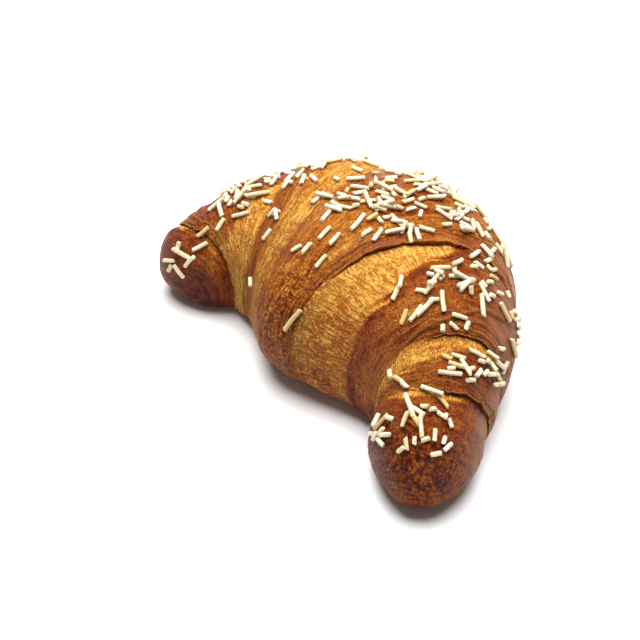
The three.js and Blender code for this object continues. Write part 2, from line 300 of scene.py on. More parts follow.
def lip_drop(layer, around):
    """How deep the step under a lip is. Low on the inner side, where the layers melted into each
    other, a tenth of it is left."""
    free = ease((np.degrees(around) - layer["free_from"]) / 35)
    uneven = 1 + 0.45 * noise(np.cos(around) * 5, np.sin(around) * 5, layer["lip"][1], 12)
    return layer["drop"] * (0.1 + 0.9 * free) * uneven


def stand_off(u, low, high, bulge, is_horn):
    """How far a layer stands off the body: low where it comes out from under the lip above it,
    crowned in the middle and high at its own lip."""
    u = np.clip(u, 0, 1)
    rise = 1 - (1 - u) ** (4 if is_horn else 1.6)
    return -0.5 * low + 0.5 * (low + high) * rise + bulge * np.sin(np.pi * u) ** 0.8


def wavered(places, sign, around):
    """A lip's line, straying a little from its even ring as hand-rolled dough does, and nicked
    where its thin edge broke off."""
    seed = int(places[1])
    slow = noise(np.cos(around) * 3, np.sin(around) * 3, sign, seed)
    quick = noise(np.cos(around) * 11, np.sin(around) * 11, sign, seed + 1)
    nicks = noise(np.cos(around) * 26, np.sin(around) * 26, sign, seed + 2)
    return ring_line(places, around) + LIP_WAVER * (0.65 * slow + 0.4 * quick + 0.35 * nicks)


def lip_rows(along, out, sign, drop):
    """The rounded edge of a lip and the narrow crease under it, which dives into the layer
    below. Gives rows of along and out from the edge inwards."""
    angle = np.radians(EDGE_TURNS)[:, None]
    thick = np.minimum(NOSE, 0.45 * drop)[None]
    edge_along = along - sign * thick * (1 - np.sin(angle))
    edge_out = out - thick * (1 - np.cos(angle))
    back, down, dive = (np.array(row)[:, None] for row in (CREASE_BACK, CREASE_DOWN, CREASE_DIVE))
    under_along = along - sign * back
    under_out = out - thick - (drop - thick) * down - dive
    return np.concatenate([edge_along, under_along]), np.concatenate([edge_out, under_out])


def layer_rows(layers, half, sign, number, around):
    """One layer from its crevice to its own lip or the horn's tip. Gives rows of along, out,
    distance to the next lip, distance from the last one, distance past the glaze's border, how
    wide the layer is there and its number."""
    layer = layers[number]
    is_horn = number == len(layers) - 1
    start = wavered(layer["lip"], sign, around)
    low = lip_drop(layer, around)
    if is_horn:
        end = np.full_like(around, half["length"])
        high = 0 * around
    else:
        end = wavered(layers[number + 1]["lip"], sign, around)
        high = lip_drop(layers[number + 1], around)
    t = np.linspace(0, 1, layer["rows"])[:, None]
    t = t - (HORN_ROW_CROWDING if is_horn else ROW_CROWDING) * np.sin(2 * np.pi * t) / (2 * np.pi)
    u = np.sin(np.pi / 2 * t) if is_horn else t
    tuck = TUCK * np.minimum(1, (end - start) / 12)
    last = end if is_horn else end - NOSE
    along = start - tuck + (last - start + tuck) * u
    width = np.broadcast_to(end - start, along.shape)
    out = stand_off((along - start) / width, low, high, layer["bulge"], is_horn)
    past = along - ring_line(layer["border"], around)
    to_lip = np.full_like(along, NO_LIP) if is_horn else end - along
    if not is_horn:
        more_along, more_out = lip_rows(end, out[-1], 1.0, high)
        along = np.concatenate([along, more_along])
        out = np.concatenate([out, more_out])
        past = np.concatenate([past, np.repeat(past[-1:], len(more_along), 0)])
        to_lip = np.concatenate([to_lip, 0 * more_along])
        width = np.concatenate([width, np.repeat(width[-1:], len(more_along), 0)])
    from_lip = np.maximum(along - start, 0)
    tag = 0 * along + sign * (number + 1)
    return np.stack([sign * along, out, to_lip, from_lip, past, width, tag])


def crown_rows(around):
    """The crown is the uppermost layer: it has a lip at both edges and is glazed all over. Gives
    the same rows as layer_rows."""
    left = -wavered(LEFT_LAYERS[0]["lip"], -1, around)
    right = wavered(RIGHT_LAYERS[0]["lip"], 1, around)
    left_drop = lip_drop(LEFT_LAYERS[0], around)
    right_drop = lip_drop(RIGHT_LAYERS[0], around)
    t = np.linspace(0, 1, CROWN_ROWS)[:, None]
    u = t - ROW_CROWDING * np.sin(2 * np.pi * t) / (2 * np.pi)
    along = left + NOSE + (right - left - 2 * NOSE) * u
    out = 0.5 * (left_drop + (right_drop - left_drop) * u) + CROWN_BULGE * np.sin(np.pi * u)
    left_along, left_out = lip_rows(left, out[0], -1.0, left_drop)
    right_along, right_out = lip_rows(right, out[-1], 1.0, right_drop)
    along = np.concatenate([left_along[::-1], along, right_along])
    out = np.concatenate([left_out[::-1], out, right_out])
    to_lip = np.maximum(np.minimum(along - left, right - along), 0)
    past = np.full_like(along, CROWN_PAST)
    span = np.full_like(along, CROWN_SPAN)
    tag = np.where(along - left < right - along, -CROWN_SIDE, CROWN_SIDE)
    return np.stack([along, out, to_lip, past, past, span, tag])


def plies(to_lip, girth, tag):
    """The laminations that end near a lip as low stairs, each along its own wavering line and not
    all the way round. Gives the height, each tread's tone, the foot of the risers, which takes
    painted shade, and their rim, which takes a painted highlight."""
    height, tone, shaded_foot, lit_rim = 0.0, 0.0, 0.0, 0.0
    for n, (place, step) in enumerate(PLIES):
        stray = 1.1 * noise(girth / 15, tag * 3.1, n, 21) + 0.3 * noise(girth / 3, tag * 3.1, n, 22)
        shown = ease(0.55 + 1.5 * noise(girth / 13, tag * 1.7, n, 23))
        past = to_lip - place * (1 + 0.35 * noise(girth / 30, tag * 2.3, n, 24)) - stray
        rise = ease(past / 0.36 + 0.5)
        height = height + step * shown * rise
        tone = tone + shown * rise * noise(girth / 26, tag * 4.3, n, 25)
        shaded_foot = np.maximum(shaded_foot, shown * np.exp(-((past + 0.18) / 0.22) ** 2))
        lit_rim = np.maximum(lit_rim, shown * np.exp(-((past - 0.2) / 0.2) ** 2))
    return height, tone, shaded_foot, lit_rim


def torn_fold(along, around, turn, girth):
    """The torn fold as one step across a layer, on top only, which evens out again behind it.
    Gives how far it drops, its foot, which takes painted shade, and its rim, which takes a
    painted highlight."""
    past = along - ring_line(FOLD_LINE, around) - 0.5 * noise(girth / 7, 0, 0, 35)
    shown = ease((turn - 48) / 22) * ease((165 - turn) / 30)
    drop = FOLD_STEP * shown * ease(past / 0.5 + 0.5) * np.exp(-np.maximum(past, 0) / 9)
    shaded_foot = shown * np.exp(-((past - 0.35) / 0.3) ** 2)
    lit_rim = shown * np.exp(-((past + 0.25) / 0.25) ** 2)
    return drop, shaded_foot, lit_rim


def of_its_layer(tag, turn):
    """What each point has from its layer: how far it baked, how wide the change from gold to
    brown is, how high the ledge there is and how open the crevice under the lip is, which sets how
    much painted shade the crevice takes."""
    brown = np.full_like(tag, CROWN_BROWN)
    fade = np.full_like(tag, 1.0)
    ledge = np.zeros_like(tag)
    opened = np.ones_like(tag)
    for layers, sign in ((RIGHT_LAYERS, 1), (LEFT_LAYERS, -1)):
        for n, layer in enumerate(layers):
            here = tag == sign * (n + 1)
            brown = np.where(here, layer["brown"], brown)
            fade = np.where(here, layer["fade"], fade)
            ledge = np.where(here, layer["ledge"], ledge)
            opened = np.where(here, ease((turn - layer["free_from"]) / 30), opened)
    return brown, fade, ledge, opened


def dress(rows, around):
    """Adds what the oven did to the rows of a skin: lumps, plies, wrinkles along the layers,
    fibres, blisters and grains. Gives the points in mm and what the material reads there, with
    painted shade, highlights, sheen and reflection among it."""
    along, out, to_lip, from_lip, past, width, tag = rows
    around = np.broadcast_to(around, along.shape)
    turn = np.degrees(around)
    share = relief_share(around)
    base = body_point(along, around, share * out)
    x, y, z = (base[..., i] for i in range(3))
    girth = around * SECTION_RADIUS
    inside = ease(to_lip / 0.5)
    near_lip = ease(1 - to_lip / PLY_REACH)
    first_right = tag == 1
    brown, fade, ledge, opened = of_its_layer(tag, turn)
    # The way across a layer: in mm on the crown and the horns, and as 32 parts of its width
    # elsewhere, so that the patterns crowd together where the layer is narrow.
    lay = np.where(to_lip > FAR_FROM_LIP, from_lip, 32 * from_lip / np.maximum(from_lip + to_lip, 1))
    lay = np.where(width == CROWN_SPAN, to_lip, lay)

    streaks = layer_noise(lay, girth, tag, STREAKS)
    patches = even_noise(x, y, z, PATCHES)
    edge = past + 1.5 * streaks + 1.3 * patches
    glaze = ease(edge / fade + 0.5)
    high_side = ease((turn - 60) / 25)
    ragged = past + 0.7 * noise(girth / 2.2, tag, 0, 36) + 0.6 * noise(girth / 6, tag, 0, 37)
    stand = ledge * high_side * ease(ragged / 0.6 + 0.5) * np.exp(-np.maximum(past, 0) / 7)

    height, tone, shaded_foot, lit_rim = plies(to_lip, girth, tag)
    fold_drop, fold_shaded_foot, fold_lit_rim = torn_fold(along, around, turn, girth)
    # Painted shade under the ledge of the right arm's first layer, added to the feet.
    under_ledge = (ledge > 0.3) * high_side * np.exp(-((ragged + 0.4) / 0.3) ** 2)
    shaded_foot = np.maximum(np.maximum(shaded_foot, first_right * fold_shaded_foot), under_ledge)
    lit_rim = np.maximum(lit_rim, first_right * fold_lit_rim)

    grains = ease(with_spots(0.1, along, turn, GRAIN_SPOTS))
    lumps = even_noise(x, y, z, LUMPS)
    waves = layer_noise(lay, girth, tag, WAVES) * ease(to_lip / 3)
    wrinkles = layer_noise(lay, girth, tag, WRINKLES)
    fibres = layer_noise(lay, girth, tag, FIBRES) + even_noise(x, y, z, FLAKES)
    blisters = BLISTER_HEIGHT * np.maximum(even_noise(x, y, z, BLISTERS) - 0.25, 0) * glaze
    pits = grains * even_noise(x, y, z, PITS)
    scales = SCALE_HEIGHT * ease((layer_noise(lay, girth, tag, SCALES) - 0.42) / 0.12) * near_lip
    detail = lumps + waves + (wrinkles * glaze + fibres * (1 - glaze) + blisters + pits + scales) * inside
    detail = detail + (height - 0.5) * inside + stand - first_right * fold_drop
    crowd = np.minimum(1, width / 14)
    points = body_point(along, around, share * (out + crowd * detail))

    # The inner side of the right arm and the crown baked darker low down than the left arm's.
    low_side = ease((75 - turn) / 50) * (1 - 0.6 * ease((-along - 30) / 20))
    gold = 0.13 + 0.22 * low_side + 0.08 * ease((turn - 105) / 40) + 0.09 * patches + 0.06 * streaks
    brown = brown + 0.10 * low_side + 0.05 * ease((turn - 90) / 40)
    bake = gold + (brown - gold) * glaze + 0.07 * streaks * glaze + 0.08 * patches * glaze
    bake = bake + 0.09 * tone * near_lip
    # The smooth brown band along the crown's right lip, and the edge of the right arm's glaze.
    lip_band = (tag == CROWN_SIDE) * ease(1.4 - to_lip / 3.6)
    bake = bake + 0.12 * lip_band * ease((115 - turn) / 30)
    bake = bake + 0.14 * first_right * np.exp(-((edge - 1.2) / 1.4) ** 2)
    bake = with_spots(bake, along, turn, BAKE_SPOTS)
    # The lowest 3.5 mm, next to the tray, all baked much alike.
    bake = bake + 0.5 * ease(1 - z / 3.5) * (0.45 - bake)
    # Painted reflection of the white surroundings at grazing angles, greyish on the right arm's
    # outer side and on the left horn's tip.
    outer_side = ease((turn - 118 - 22 * ease((along - 42) / 14)) / 35)
    grazing_reflection = outer_side * ease((along - 12) / 12) * ease((80 - along) / 9)
    # The threads run along the roll on the right arm, which stretched, and round it elsewhere.
    thread_along = lay * np.where(tag > 0.5, 0.2, 1.0)
    thread_round = girth * np.where(tag > 0.5, 1.3, 0.3)
    # Of these marks, the feet and the crevices are painted shade, the rims a painted highlight, the mauve
    # a painted sheen, the frost a painted reflection at grazing angles, and the olive partly painted shade
    # past the lips.
    marks = {
        "bake": np.clip(bake, 0, 1),
        "glaze": glaze,
        "shaded_foot": shaded_foot * ease(to_lip / 0.3),
        "lit_rim": np.maximum(lit_rim, 0.8 * (1 - ease(to_lip / 0.7)) * (to_lip < FAR_FROM_LIP)),
        # painted shade in the crease under each lip
        "crevice_shade": ease(1 - from_lip / 0.9) * (0.1 + 0.9 * opened),
        "grains": grains,
        "olive": with_spots(0.0, along, turn, OLIVE_SPOTS),
        # painted sheen on the mauve spots and along the crown's right lip band
        "painted_sheen": with_spots(0.0, along, turn, PAINTED_SHEEN_SPOTS) + 0.5 * lip_band * ease((turn - 55) / 30),
        "grazing_reflection": with_spots(grazing_reflection, along, turn, GRAZING_REFLECTION_SPOTS),
        "layered": np.stack([lay, girth, LAYER_SHIFT * tag], -1) * MM,
        "threaded": np.stack([thread_along, thread_round, LAYER_SHIFT * tag], -1) * MM,
    }
    return points, marks


def skin_faces(rings, columns):
    """Quads between the rings of a closed tube and a fan at each end, to a middle point that
    follows the rings' points, all turned outwards."""
    ring, column = np.meshgrid(np.arange(rings - 1), np.arange(columns), indexing="ij")
    beside = (column + 1) % columns
    quads = np.stack([ring * columns + column, (ring + 1) * columns + column,
                      (ring + 1) * columns + beside, ring * columns + beside], -1).reshape(-1, 4)
    here = np.arange(columns)
    beside = (here + 1) % columns
    last = (rings - 1) * columns
    first_fan = np.stack([np.full(columns, rings * columns), here, beside], -1)
    last_fan = np.stack([last + here, np.full(columns, rings * columns + 1), last + beside], -1)
    return quads.tolist() + first_fan.tolist() + last_fan.tolist()


def with_ends(values):
    """A grid's values in point order, with the end rings' means for the two middle points."""
    flat = values.reshape(-1, *values.shape[2:])
    return np.concatenate([flat, values[0].mean(0)[None], values[-1].mean(0)[None]])


def mesh_object(name, points, faces):
    """A smooth mesh object at the origin, with its points given in mm."""
    mesh = bpy.data.meshes.new(name)
    mesh.from_pydata((points * MM).tolist(), [], faces)
    mesh.shade_smooth()
    made = bpy.data.objects.new(name, mesh)
    bpy.context.scene.collection.objects.link(made)
    return made


def paint(made, name, values):
    """Stores one value or vector for each point of the mesh, for the material to read."""
    kind, field = ("FLOAT", "value") if values.ndim == 1 else ("FLOAT_VECTOR", "vector")
    layer = made.data.attributes.new(name, kind, "POINT")
    layer.data.foreach_set(field, values.astype(np.float32).ravel())


arm_round = section_round(ARM_COLUMNS)
crown_round = section_round(CROWN_COLUMNS)
left_rows = [layer_rows(LEFT_LAYERS, LEFT, -1, n, arm_round)[:, ::-1] for n in (2, 1, 0)]
right_rows = [layer_rows(RIGHT_LAYERS, RIGHT, 1, n, arm_round) for n in (0, 1, 2)]
skins = [
    ("left_arm_crust", np.concatenate(left_rows, axis=1), arm_round),
    ("crown_crust", crown_rows(crown_round), crown_round),
    ("right_arm_crust", np.concatenate(right_rows, axis=1), arm_round),
]
crusts = []
for name, rows, around in skins:
    points, marks = dress(rows, around)
    crust = mesh_object(name, with_ends(points), skin_faces(*points.shape[:2]))
    for mark, values in marks.items():
        paint(crust, mark, with_ends(values))
    crusts.append(crust)


def linear(colour):
    """An sRGB hex colour as the linear red, green, blue and alpha that Blender works in."""
    parts = [int(colour[i:i + 2], 16) / 255 for i in (1, 3, 5)]
    return [p / 12.92 if p <= 0.04045 else ((p + 0.055) / 1.055) ** 2.4 for p in parts] + [1.0]


def add(tree, kind, links=None, stops=None, **settings):
    """Adds a node and gives its first output. Settings are its properties, links are values, hex
    colours or sockets for its inputs, and stops are a ramp's places with their hex colours."""
    node = tree.nodes.new(kind)
    for name, value in settings.items():
        setattr(node, name, value)
    for name, value in (links or {}).items():
        if isinstance(value, bpy.types.NodeSocket):
            tree.links.new(value, node.inputs[name])
        else:
            node.inputs[name].default_value = linear(value) if isinstance(value, str) else value
    if stops:
        ramp = node.color_ramp
        while len(ramp.elements) < len(stops):
            ramp.elements.new(1.0)
        for element, (place, colour) in zip(ramp.elements, stops):
            element.position = place
            element.color = linear(colour)
    return next((socket for socket in node.outputs if socket.enabled), None)


def new_material(name):
    """An empty node material and its tree."""
    material = bpy.data.materials.new(name)
    material.use_nodes = True
    material.node_tree.nodes.clear()
    return material, material.node_tree


# Sizes of the material's patterns in mm, and how far the curls bend two of them, in metres.
CURL_SIZE = 7
THREAD_SPACING = 1.15
STREAK_WIDTH = 1.2
MOTTLE_SIZE = 3.5
SPECKLE_SIZE = 0.8
GRAIN_WIDTH = 1.3
THREAD_BEND = (0.0035, 0.0035, 0.0)
STREAK_BEND = (0.004, 0.009, 0.0)


def egg_washed_crust():
    """Baked laminated dough. One ramp runs from pale gold to burnt, as the crust browned; each
    point reads how far it got, and fine patterns vary that. The stretched strips are matt, with
    fine golden threads about 1 mm apart; the washed skin is satin, with streaks that run round
    the roll and dark specks; where it blistered, golden grains stand on the brown."""
    material, tree = new_material("egg_washed_crust")
    place = add(tree, "ShaderNodeTexCoord").node.outputs["Object"]
    read = {}
    for name in ("bake", "glaze", "shaded_foot", "lit_rim", "crevice_shade", "grains", "olive", "painted_sheen", "grazing_reflection"):
        read[name] = add(tree, "ShaderNodeAttribute", attribute_name=name).node.outputs["Fac"]
    for name in ("layered", "threaded"):
        read[name] = add(tree, "ShaderNodeAttribute", attribute_name=name).node.outputs["Vector"]

    # The threads are the thin lines where a stretched and curled noise crosses its middle value.
    curl = add(tree, "ShaderNodeTexNoise", {"Vector": place, "Scale": 1000 / CURL_SIZE, "Detail": 1})
    curl = curl.node.outputs["Color"]
    thread_grid = add(tree, "ShaderNodeVectorMath", {
        0: curl, 1: THREAD_BEND, 2: read["threaded"]}, operation="MULTIPLY_ADD")
    strands = add(tree, "ShaderNodeTexNoise", {
        "Vector": thread_grid, "Scale": 1000 / THREAD_SPACING, "Detail": 2, "Roughness": 0.55})
    off_line = add(tree, "ShaderNodeMath", {0: strands, 1: 0.5}, operation="SUBTRACT")
    off_line = add(tree, "ShaderNodeMath", {0: off_line}, operation="ABSOLUTE")
    threads = add(tree, "ShaderNodeMapRange", {
        "Value": off_line, "From Max": 0.09, "To Min": 1.0, "To Max": 0.0})
    curled = add(tree, "ShaderNodeVectorMath", {
        0: curl, 1: STREAK_BEND, 2: read["layered"]}, operation="MULTIPLY_ADD")
    streak_grid = add(tree, "ShaderNodeMapping", {"Vector": curled, "Scale": (1, 0.1, 1)})
    streaks = add(tree, "ShaderNodeTexNoise", {
        "Vector": streak_grid, "Scale": 1000 / STREAK_WIDTH, "Detail": 4, "Roughness": 0.7})
    mottle = add(tree, "ShaderNodeTexNoise", {
        "Vector": place, "Scale": 1000 / MOTTLE_SIZE, "Detail": 4, "Roughness": 0.6})
    speckle = add(tree, "ShaderNodeTexNoise", {
        "Vector": place, "Scale": 1000 / SPECKLE_SIZE, "Detail": 3, "Roughness": 0.75})
    specks = add(tree, "ShaderNodeMapRange", {"Value": speckle, "From Min": 0.58, "From Max": 0.68})
    grains = add(tree, "ShaderNodeTexVoronoi", {"Vector": place, "Scale": 1000 / GRAIN_WIDTH})

    # How much each pattern shifts the browning: threads on gold, streaks on glaze, specks on both.
    thread_reach = add(tree, "ShaderNodeMapRange", {
        "Value": read["glaze"], "To Min": -0.34, "To Max": -0.10})
    streak_reach = add(tree, "ShaderNodeMapRange", {
        "Value": read["glaze"], "To Min": 0.4, "To Max": 1.2})
    grain_reach = add(tree, "ShaderNodeMapRange", {"Value": read["grains"], "To Max": 0.7})
    bake = read["bake"]
    for pattern, middle, reach in (
            (threads, 0.4, thread_reach), (streaks, 0.5, streak_reach), (speckle, 0.5, 0.9),
            (specks, 0.15, 0.22), (grains, 0.45, grain_reach), (mottle, 0.5, 0.5)):
        centred = add(tree, "ShaderNodeMath", {0: pattern, 1: middle}, operation="SUBTRACT")
        bake = add(tree, "ShaderNodeMath", {0: centred, 1: reach, 2: bake}, operation="MULTIPLY_ADD")
    colour = add(tree, "ShaderNodeValToRGB", {"Fac": bake}, stops=[
        (0.00, "#DCA74E"), (0.15, "#BF8230"), (0.30, "#A5651F"), (0.45, "#914C13"),
        (0.60, "#7F3A0A"), (0.75, "#6A2405"), (0.88, "#4E1504"), (1.00, "#2C0903")])

    # Over the ramp: an olive tint that is partly painted shade past the lips, a painted sheen, a
    # painted reflection at grazing angles, a painted highlight on the rims, and painted shade at
    # the feet of the steps and in the crevices.
    patchy = add(tree, "ShaderNodeMapRange", {
        "Value": mottle, "From Min": 0.42, "From Max": 0.62, "To Min": 0.0, "To Max": 0.6})
    reflection_speckle = add(tree, "ShaderNodeMapRange", {
        "Value": speckle, "From Min": 0.35, "From Max": 0.65, "To Min": 0.1, "To Max": 0.75})
    for mark, strength, tint in (
            ("olive", speckle, "#8E7430"), ("painted_sheen", patchy, "#7B4A34"), ("grazing_reflection", reflection_speckle, "#9C7058"),
            ("lit_rim", 0.6, "#BC7E3A"), ("shaded_foot", 0.7, "#4A1604"), ("crevice_shade", 0.6, "#3E1606")):
        share = add(tree, "ShaderNodeMath", {0: read[mark], 1: strength}, operation="MULTIPLY")
        colour = add(tree, "ShaderNodeMix", {"Factor": share, "A": colour, "B": tint}, data_type="RGBA")

    shine = add(tree, "ShaderNodeMath", {0: read["glaze"], 1: 0.22, 2: mottle}, operation="MULTIPLY_ADD")
    satin = add(tree, "ShaderNodeMapRange", {
        "Value": shine, "From Min": 0.35, "From Max": 0.85, "To Min": 0.6, "To Max": 0.33})
    grain_relief = add(tree, "ShaderNodeMapRange", {"Value": read["grains"], "To Max": -0.8})
    relief = 0.0
    for pattern, reach in ((threads, 0.35), (streaks, 0.5), (speckle, 0.8), (mottle, 0.4),
                           (grains, grain_relief)):
        relief = add(tree, "ShaderNodeMath", {0: pattern, 1: reach, 2: relief}, operation="MULTIPLY_ADD")
    bump = add(tree, "ShaderNodeBump", {"Height": relief, "Distance": 0.0009, "Strength": 0.9})
    shader = add(tree, "ShaderNodeBsdfPrincipled", {
        "Base Color": colour, "Roughness": satin, "Normal": bump, "IOR": 1.45, "Specular IOR Level": 0.13})
    add(tree, "ShaderNodeOutputMaterial", {"Surface": shader})
    return material


crust_material = egg_washed_crust()
for crust in crusts:
    crust.data.materials.append(crust_material)
    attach(crust, "root")
    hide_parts("croissant")

# ---------------------------------------------------------------------------------------------
# The sugar rods
# Short extruded rods of baking sugar, 1.5 mm thick and broken to length, that were strewn on the
# wet egg wash and baked on. They lie in drifts, one on another, some toasted to straw yellow.
# Each is a tube with cut ends, laid on the crust where it meets it.
# ---------------------------------------------------------------------------------------------
# Drifts: middle along and around, reach along and around, number of rods and their main heading,
# which is 0 degrees along the roll and 90 round it.
SUGAR_DRIFTS = [
    [-80, 80, 4, 18, 4, 160], [-79, 45, 3, 10, 2, 35], [-59, 93, 5, 12, 6, 65], [-56, 115, 4, 11, 8, 155],
    [-51, 87, 5, 10, 6, 160], [-47, 108, 5, 11, 7, 0], [-48, 136, 9, 12, 9, 60], [-36, 71, 2, 4, 3, 75],
    [-35, 100, 6, 9, 7, 110], [-34, 116, 4, 8, 7, 45], [-29, 133, 8, 10, 9, 0], [-20, 103, 7, 18, 6, 160],
    [-11, 89, 6, 10, 9, 45], [-10, 110, 5, 9, 7, 90], [-3, 98, 5, 10, 9, 30], [3, 91, 5, 6, 6, 35],
    [4, 108, 5, 9, 8, 80], [10, 93, 3, 5, 4, 75], [14, 97, 2, 7, 4, 0], [-11, 134, 8, 9, 8, 60],
    [-1, 128, 7, 11, 12, 60], [3, 143, 7, 8, 9, 15], [9, 128, 4, 12, 8, 70], [14, 124, 4, 11, 10, 55],
    [18, 146, 7, 11, 12, 0], [-12, 152, 14, 10, 12, 0], [27, 129, 5, 11, 8, 70], [32, 104, 5, 11, 9, 110],
    [33, 90, 4, 9, 4, 40], [36, 120, 5, 12, 7, 65], [38, 88, 4, 10, 4, 125], [36, 148, 6, 12, 5, 70],
    [40, 165, 6, 9, 5, 90], [46, 102, 3, 12, 4, 40], [49, 150, 3, 14, 4, 80], [57, 128, 5, 13, 7, 140],
    [58, 108, 4, 10, 6, 70], [55, 152, 4, 12, 5, 90], [72, 101, 5, 13, 5, 110], [77, 124, 6, 13, 6, 20],
    [78, 88, 4, 10, 5, 45], [82, 104, 5, 12, 6, 10], [84, 50, 5, 24, 8, 125],
]
# Rods that lie apart: along, around, heading and length.
LONE_RODS = [
    [10, 24, 76, 9.5], [-39, 26, 144, 3.5], [-13, 55, 51, 4], [-8, 57, 86, 4.5], [-6, 67, 92, 6],
    [0, 67, 98, 5.5], [3, 56, 91, 5.5], [-36, 58, 66, 4.5], [-24, 87, 80, 6.5], [-13, 76, 98, 6],
    [0, 80, 106, 8.5], [6, 79, 92, 4.5], [9, 82, 111, 5.5], [-43, 83, 172, 3.5], [33, 72, 127, 5],
    [30, 77, 143, 5.5], [42, 70, 136, 5], [42, 78, 125, 6.5], [60, 46, 15, 3.5], [64, 55, 56, 4],
    [67, 63, 53, 3], [-72, 57, 175, 6], [-69, 70, 179, 5.5], [-61, 67, 43, 5], [-52, 72, 11, 6.5],
]
ROD_DIAMETER = 1.5
ROD_SHORTEST, ROD_LONGEST = 2.4, 8.0
HEADING_SPREAD = 60     # how far a rod may be turned from its drift's heading, in degrees
ROD_SIDES = 10

# How a rod is laid. Probes over the middle of its length start high above the crust.
PROBED_SHARE = 0.45     # how far they run to each side, as a share of the length
PROBES = 9
PROBE_HEIGHT = 8.0
NORMAL_REACH = 1.2      # over how wide a patch the crust's normal is taken
STEEPEST = 0.6
SUNK_HEIGHT = 0.44      # the axis over the crust, in diameters, so that the rod is sunk in a little
STACKED_GAP = 0.92      # the gap between the axes of rods that cross, in diameters
CROSSING_GAP = 0.8      # rods cross where one axis passes over the other this closely, in diameters
CROSSING_RISE = 2.0     # and this far above or below it at most
MOST_LEAN = 1.6         # how far a rod is lifted at most to lean on another

# A rod's ends: how far each ring lies from the cut, in radii, and how thick it is.
RING_PLACES = [0.0, 0.04, 0.2, 0.5, 1.1]
RING_GIRTHS = [0.55, 0.84, 0.96, 1.0, 1.0]
MIDDLE_GIRTH = 1.02
THINNEST, THICKNESS_SPREAD = 0.92, 0.18
ROD_BOW = 0.35          # how far apart the bows of rods 5 mm long lie at most
ROD_WAVER = 0.05


def draw(index, kind):
    """An even scatter that is the same each time: the fraction of a large sine."""
    x = np.sin(index * 12.9898 + kind * 78.233) * 43758.5453
    return x - np.floor(x)


def rod_places():
    """The lone rods, then the drifts, each filled as the seeds of a sunflower are and nudged by
    the draw. Gives along, around, heading and length for each rod."""
    lone = np.array(LONE_RODS, float)
    drift = np.repeat(np.array(SUGAR_DRIFTS, float), [d[4] for d in SUGAR_DRIFTS], axis=0)
    i = np.concatenate([np.arange(d[4]) for d in SUGAR_DRIFTS])
    n = np.arange(len(i)) + 1.0
    r = np.sqrt((i + 0.3 + 0.5 * draw(n, 1)) / drift[:, 4])
    a = i * np.pi * (3 - np.sqrt(5)) + 1.2 * draw(n, 2)
    along = drift[:, 0] + drift[:, 2] * r * np.cos(a)
    turn = drift[:, 1] + drift[:, 3] * r * np.sin(a)
    length = ROD_SHORTEST + (ROD_LONGEST - ROD_SHORTEST) * draw(n, 3) ** 1.3
    heading = drift[:, 5] + HEADING_SPREAD * (2 * draw(n, 4) - 1)
    places = np.stack([along, turn, heading, length], 1)
    along, turn, heading, length = np.concatenate([lone, places]).T
    return along, np.radians(turn), np.radians(heading), length


def lay_rods():
    """Sets each rod down on the crust: probes along the crust's normal find the heights under it,
    the rod takes their slope and lies on the highest, and a rod that crosses one laid before it
    leans on that. Gives middles, axes and normals in mm, with the lengths."""
    along, turn, heading, length = rod_places()
    here = body_point(along, turn, 0 * along)
    # A section's radius is about 25 mm, which turns the reach into a turn.
    reach, sweep = NORMAL_REACH, NORMAL_REACH / 25
    e1 = body_point(along + reach, turn, 0 * along) - body_point(along - reach, turn, 0 * along)
    e2 = body_point(along, turn + sweep, 0 * along) - body_point(along, turn - sweep, 0 * along)
    e1 /= np.linalg.norm(e1, axis=1, keepdims=True)
    normal = np.cross(e1, e2)
    normal /= np.linalg.norm(normal, axis=1, keepdims=True)
    across = np.cross(normal, e1)
    axis = e1 * np.cos(heading)[:, None] + across * np.sin(heading)[:, None]
    depsgraph = bpy.context.evaluated_depsgraph_get()
    trees = [BVHTree.FromObject(crust, depsgraph) for crust in crusts]

    def height(point, up):
        """How high the crust lies over a point along a normal, probed from above, in mm."""
        start = Vector((point + PROBE_HEIGHT * up) * MM)
        found = [tree.ray_cast(start, Vector(-up))[3] for tree in trees]
        found = [distance for distance in found if distance is not None]
        return PROBE_HEIGHT - min(found) / MM if found else 0.0

    shares = np.linspace(-PROBED_SHARE, PROBED_SHARE, PROBES)
    lift = SUNK_HEIGHT * ROD_DIAMETER
    middles, axes, normals, laid = [], [], [], []
    for n in range(len(length)):
        reach = shares * length[n]
        heights = np.array([height(here[n] + axis[n] * r, normal[n]) for r in reach])
        slope = (reach * (heights - heights.mean())).sum() / (reach**2).sum()
        slope = np.clip(slope, -STEEPEST, STEEPEST)
        level = (heights - slope * reach).max()
        spine = here[n] + axis[n] * reach[:, None] + normal[n] * (level + lift + slope * reach)[:, None]
        if laid:
            # How far each point of this rod has to rise to clear each point of the rods before it.
            offset = spine[:, None] - np.concatenate(laid)[None]
            rise = offset @ normal[n]
            flat = np.sqrt(np.maximum((offset**2).sum(-1) - rise**2, 0))
            need = np.sqrt(np.maximum((STACKED_GAP * ROD_DIAMETER) ** 2 - flat**2, 0)) - rise
            crossing = (flat < CROSSING_GAP * ROD_DIAMETER) & (np.abs(rise) < CROSSING_RISE)
            need = np.where(crossing, need, 0)
            at, _ = np.unravel_index(need.argmax(), need.shape)
            more = min(need.max(), MOST_LEAN)
            if more > 0:
                tilt = more / ((abs(shares[at]) + PROBED_SHARE) * length[n])
                slope += math.copysign(tilt, shares[at])
                level += tilt * PROBED_SHARE * length[n]
        lean = axis[n] + normal[n] * slope
        lean /= np.linalg.norm(lean)
        up = normal[n] - lean * (normal[n] @ lean)
        up /= np.linalg.norm(up)
        middle = here[n] + normal[n] * (level + lift)
        middles.append(middle)
        axes.append(lean)
        normals.append(up)
        laid.append(middle + lean * reach[:, None])
    return np.array(middles), np.array(axes), np.array(normals), length


